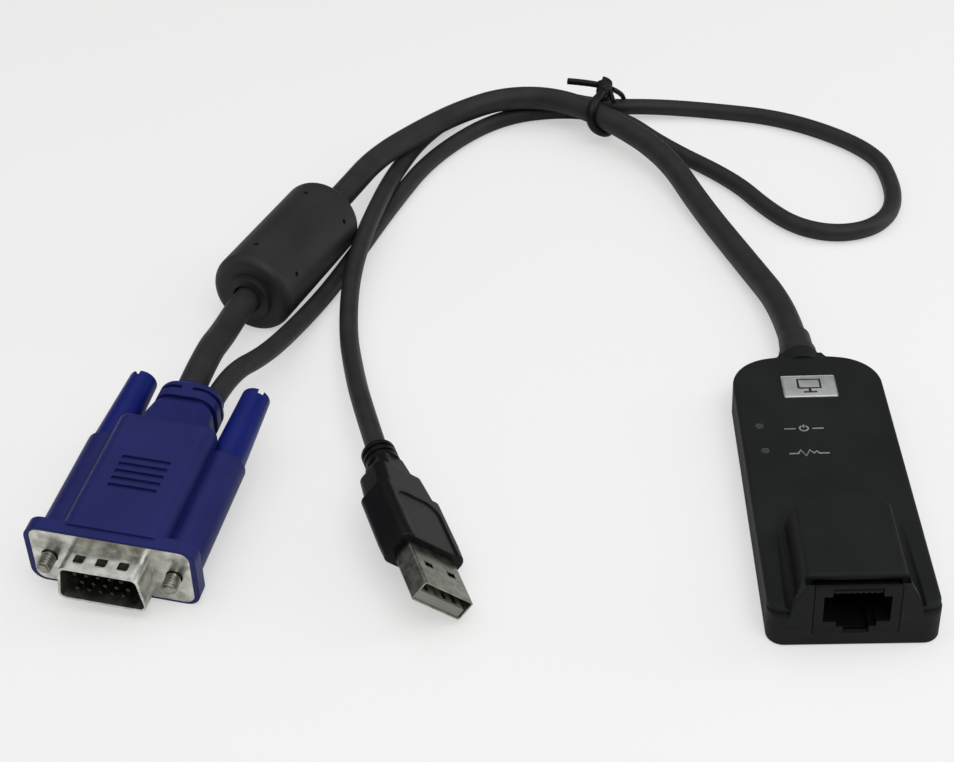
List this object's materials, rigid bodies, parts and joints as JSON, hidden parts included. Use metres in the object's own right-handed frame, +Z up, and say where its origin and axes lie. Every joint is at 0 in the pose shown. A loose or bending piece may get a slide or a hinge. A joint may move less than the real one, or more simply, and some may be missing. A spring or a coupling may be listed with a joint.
{
  "type": "kvm dongle",
  "caption": "A keyboard, video and mouse adapter: a flat box with a network socket, and on its cables a video plug with thumbscrews, a USB plug and a ferrite choke",
  "frame": {"origin": "centre of the housing's box, at the surface that everything lies on", "axes": "+Y runs from the network socket to the cable exit along the housing, +Z is up, +X is to the right when the socket is faced from behind the cable"},
  "size_m": [0.1905, 0.2218, 0.02],
  "materials": {
    "housing_plastic": "fine satin texture",
    "board_laminate": "solder mask",
    "light_pipe_plastic": "clear moulded",
    "light_chip": "cast resin",
    "chip_resin": "moulded",
    "capacitor_can": "drawn",
    "header_plastic": "moulded",
    "jack_plastic": "moulded",
    "gold_contact": "gold plated",
    "boot_rubber": "satin",
    "wire_insulation": "extruded",
    "cable_jacket": "matt extruded PVC",
    "ferrite_jacket": "moulded",
    "ferrite_stone": "pressed and fired",
    "tie_plastic": "coated wire",
    "blue_plastic": "fine satin texture",
    "blue_knob_plastic": "moulded",
    "inner_plastic": "cast over the wires",
    "nickel_steel": "nickel plated",
    "black_insulator": "moulded",
    "usb_black_plastic": "satin",
    "tongue_plastic": "moulded"
  },
  "bodies": {
    "housing": {"top_cover": "housing_plastic", "bottom_cover": "housing_plastic", "circuit_board": "board_laminate", "power_light_pipe": "light_pipe_plastic", "active_light_pipe": "light_pipe_plastic", "indicator_lights": "light_chip", "signal_transformer": "chip_resin", "processor_chip": "chip_resin", "video_chip": "chip_resin", "board_capacitors": "capacitor_can", "cable_header": "header_plastic", "network_jack": "jack_plastic", "jack_contacts": "gold_contact", "vga_pins": "gold_contact", "usb_contacts": "gold_contact", "cable_boot": "boot_rubber", "wire_bundle": "wire_insulation", "video_cable": "cable_jacket", "usb_cable": "cable_jacket", "ferrite_cover": "ferrite_jacket", "ferrite_core": "ferrite_stone", "twist_tie": "tie_plastic", "vga_hood": "blue_plastic", "vga_inner_mould": "inner_plastic", "usb_inner_mould": "inner_plastic", "vga_shell": "nickel_steel", "usb_shell": "nickel_steel", "vga_insulator": "black_insulator", "usb_overmould": "usb_black_plastic", "usb_tongue": "tongue_plastic"},
    "left_thumbscrew": {"left_thumbscrew_knob": "blue_knob_plastic", "left_thumbscrew_rod": "nickel_steel"},
    "right_thumbscrew": {"right_thumbscrew_knob": "blue_knob_plastic", "right_thumbscrew_rod": "nickel_steel"}
  },
  "joints": [
    {"name": "left_thumbscrew_turn", "type": "hinge", "parent": "housing", "child": "left_thumbscrew", "pos_m": [-0.14537, 0.00111, 0.012], "axis": [-0.1833, -0.9786, -0.0938], "continuous": true},
    {"name": "right_thumbscrew_turn", "type": "hinge", "parent": "housing", "child": "right_thumbscrew", "pos_m": [-0.12086, -0.00328, 0.00989], "axis": [-0.1833, -0.9786, -0.0938], "continuous": true}
  ]
}
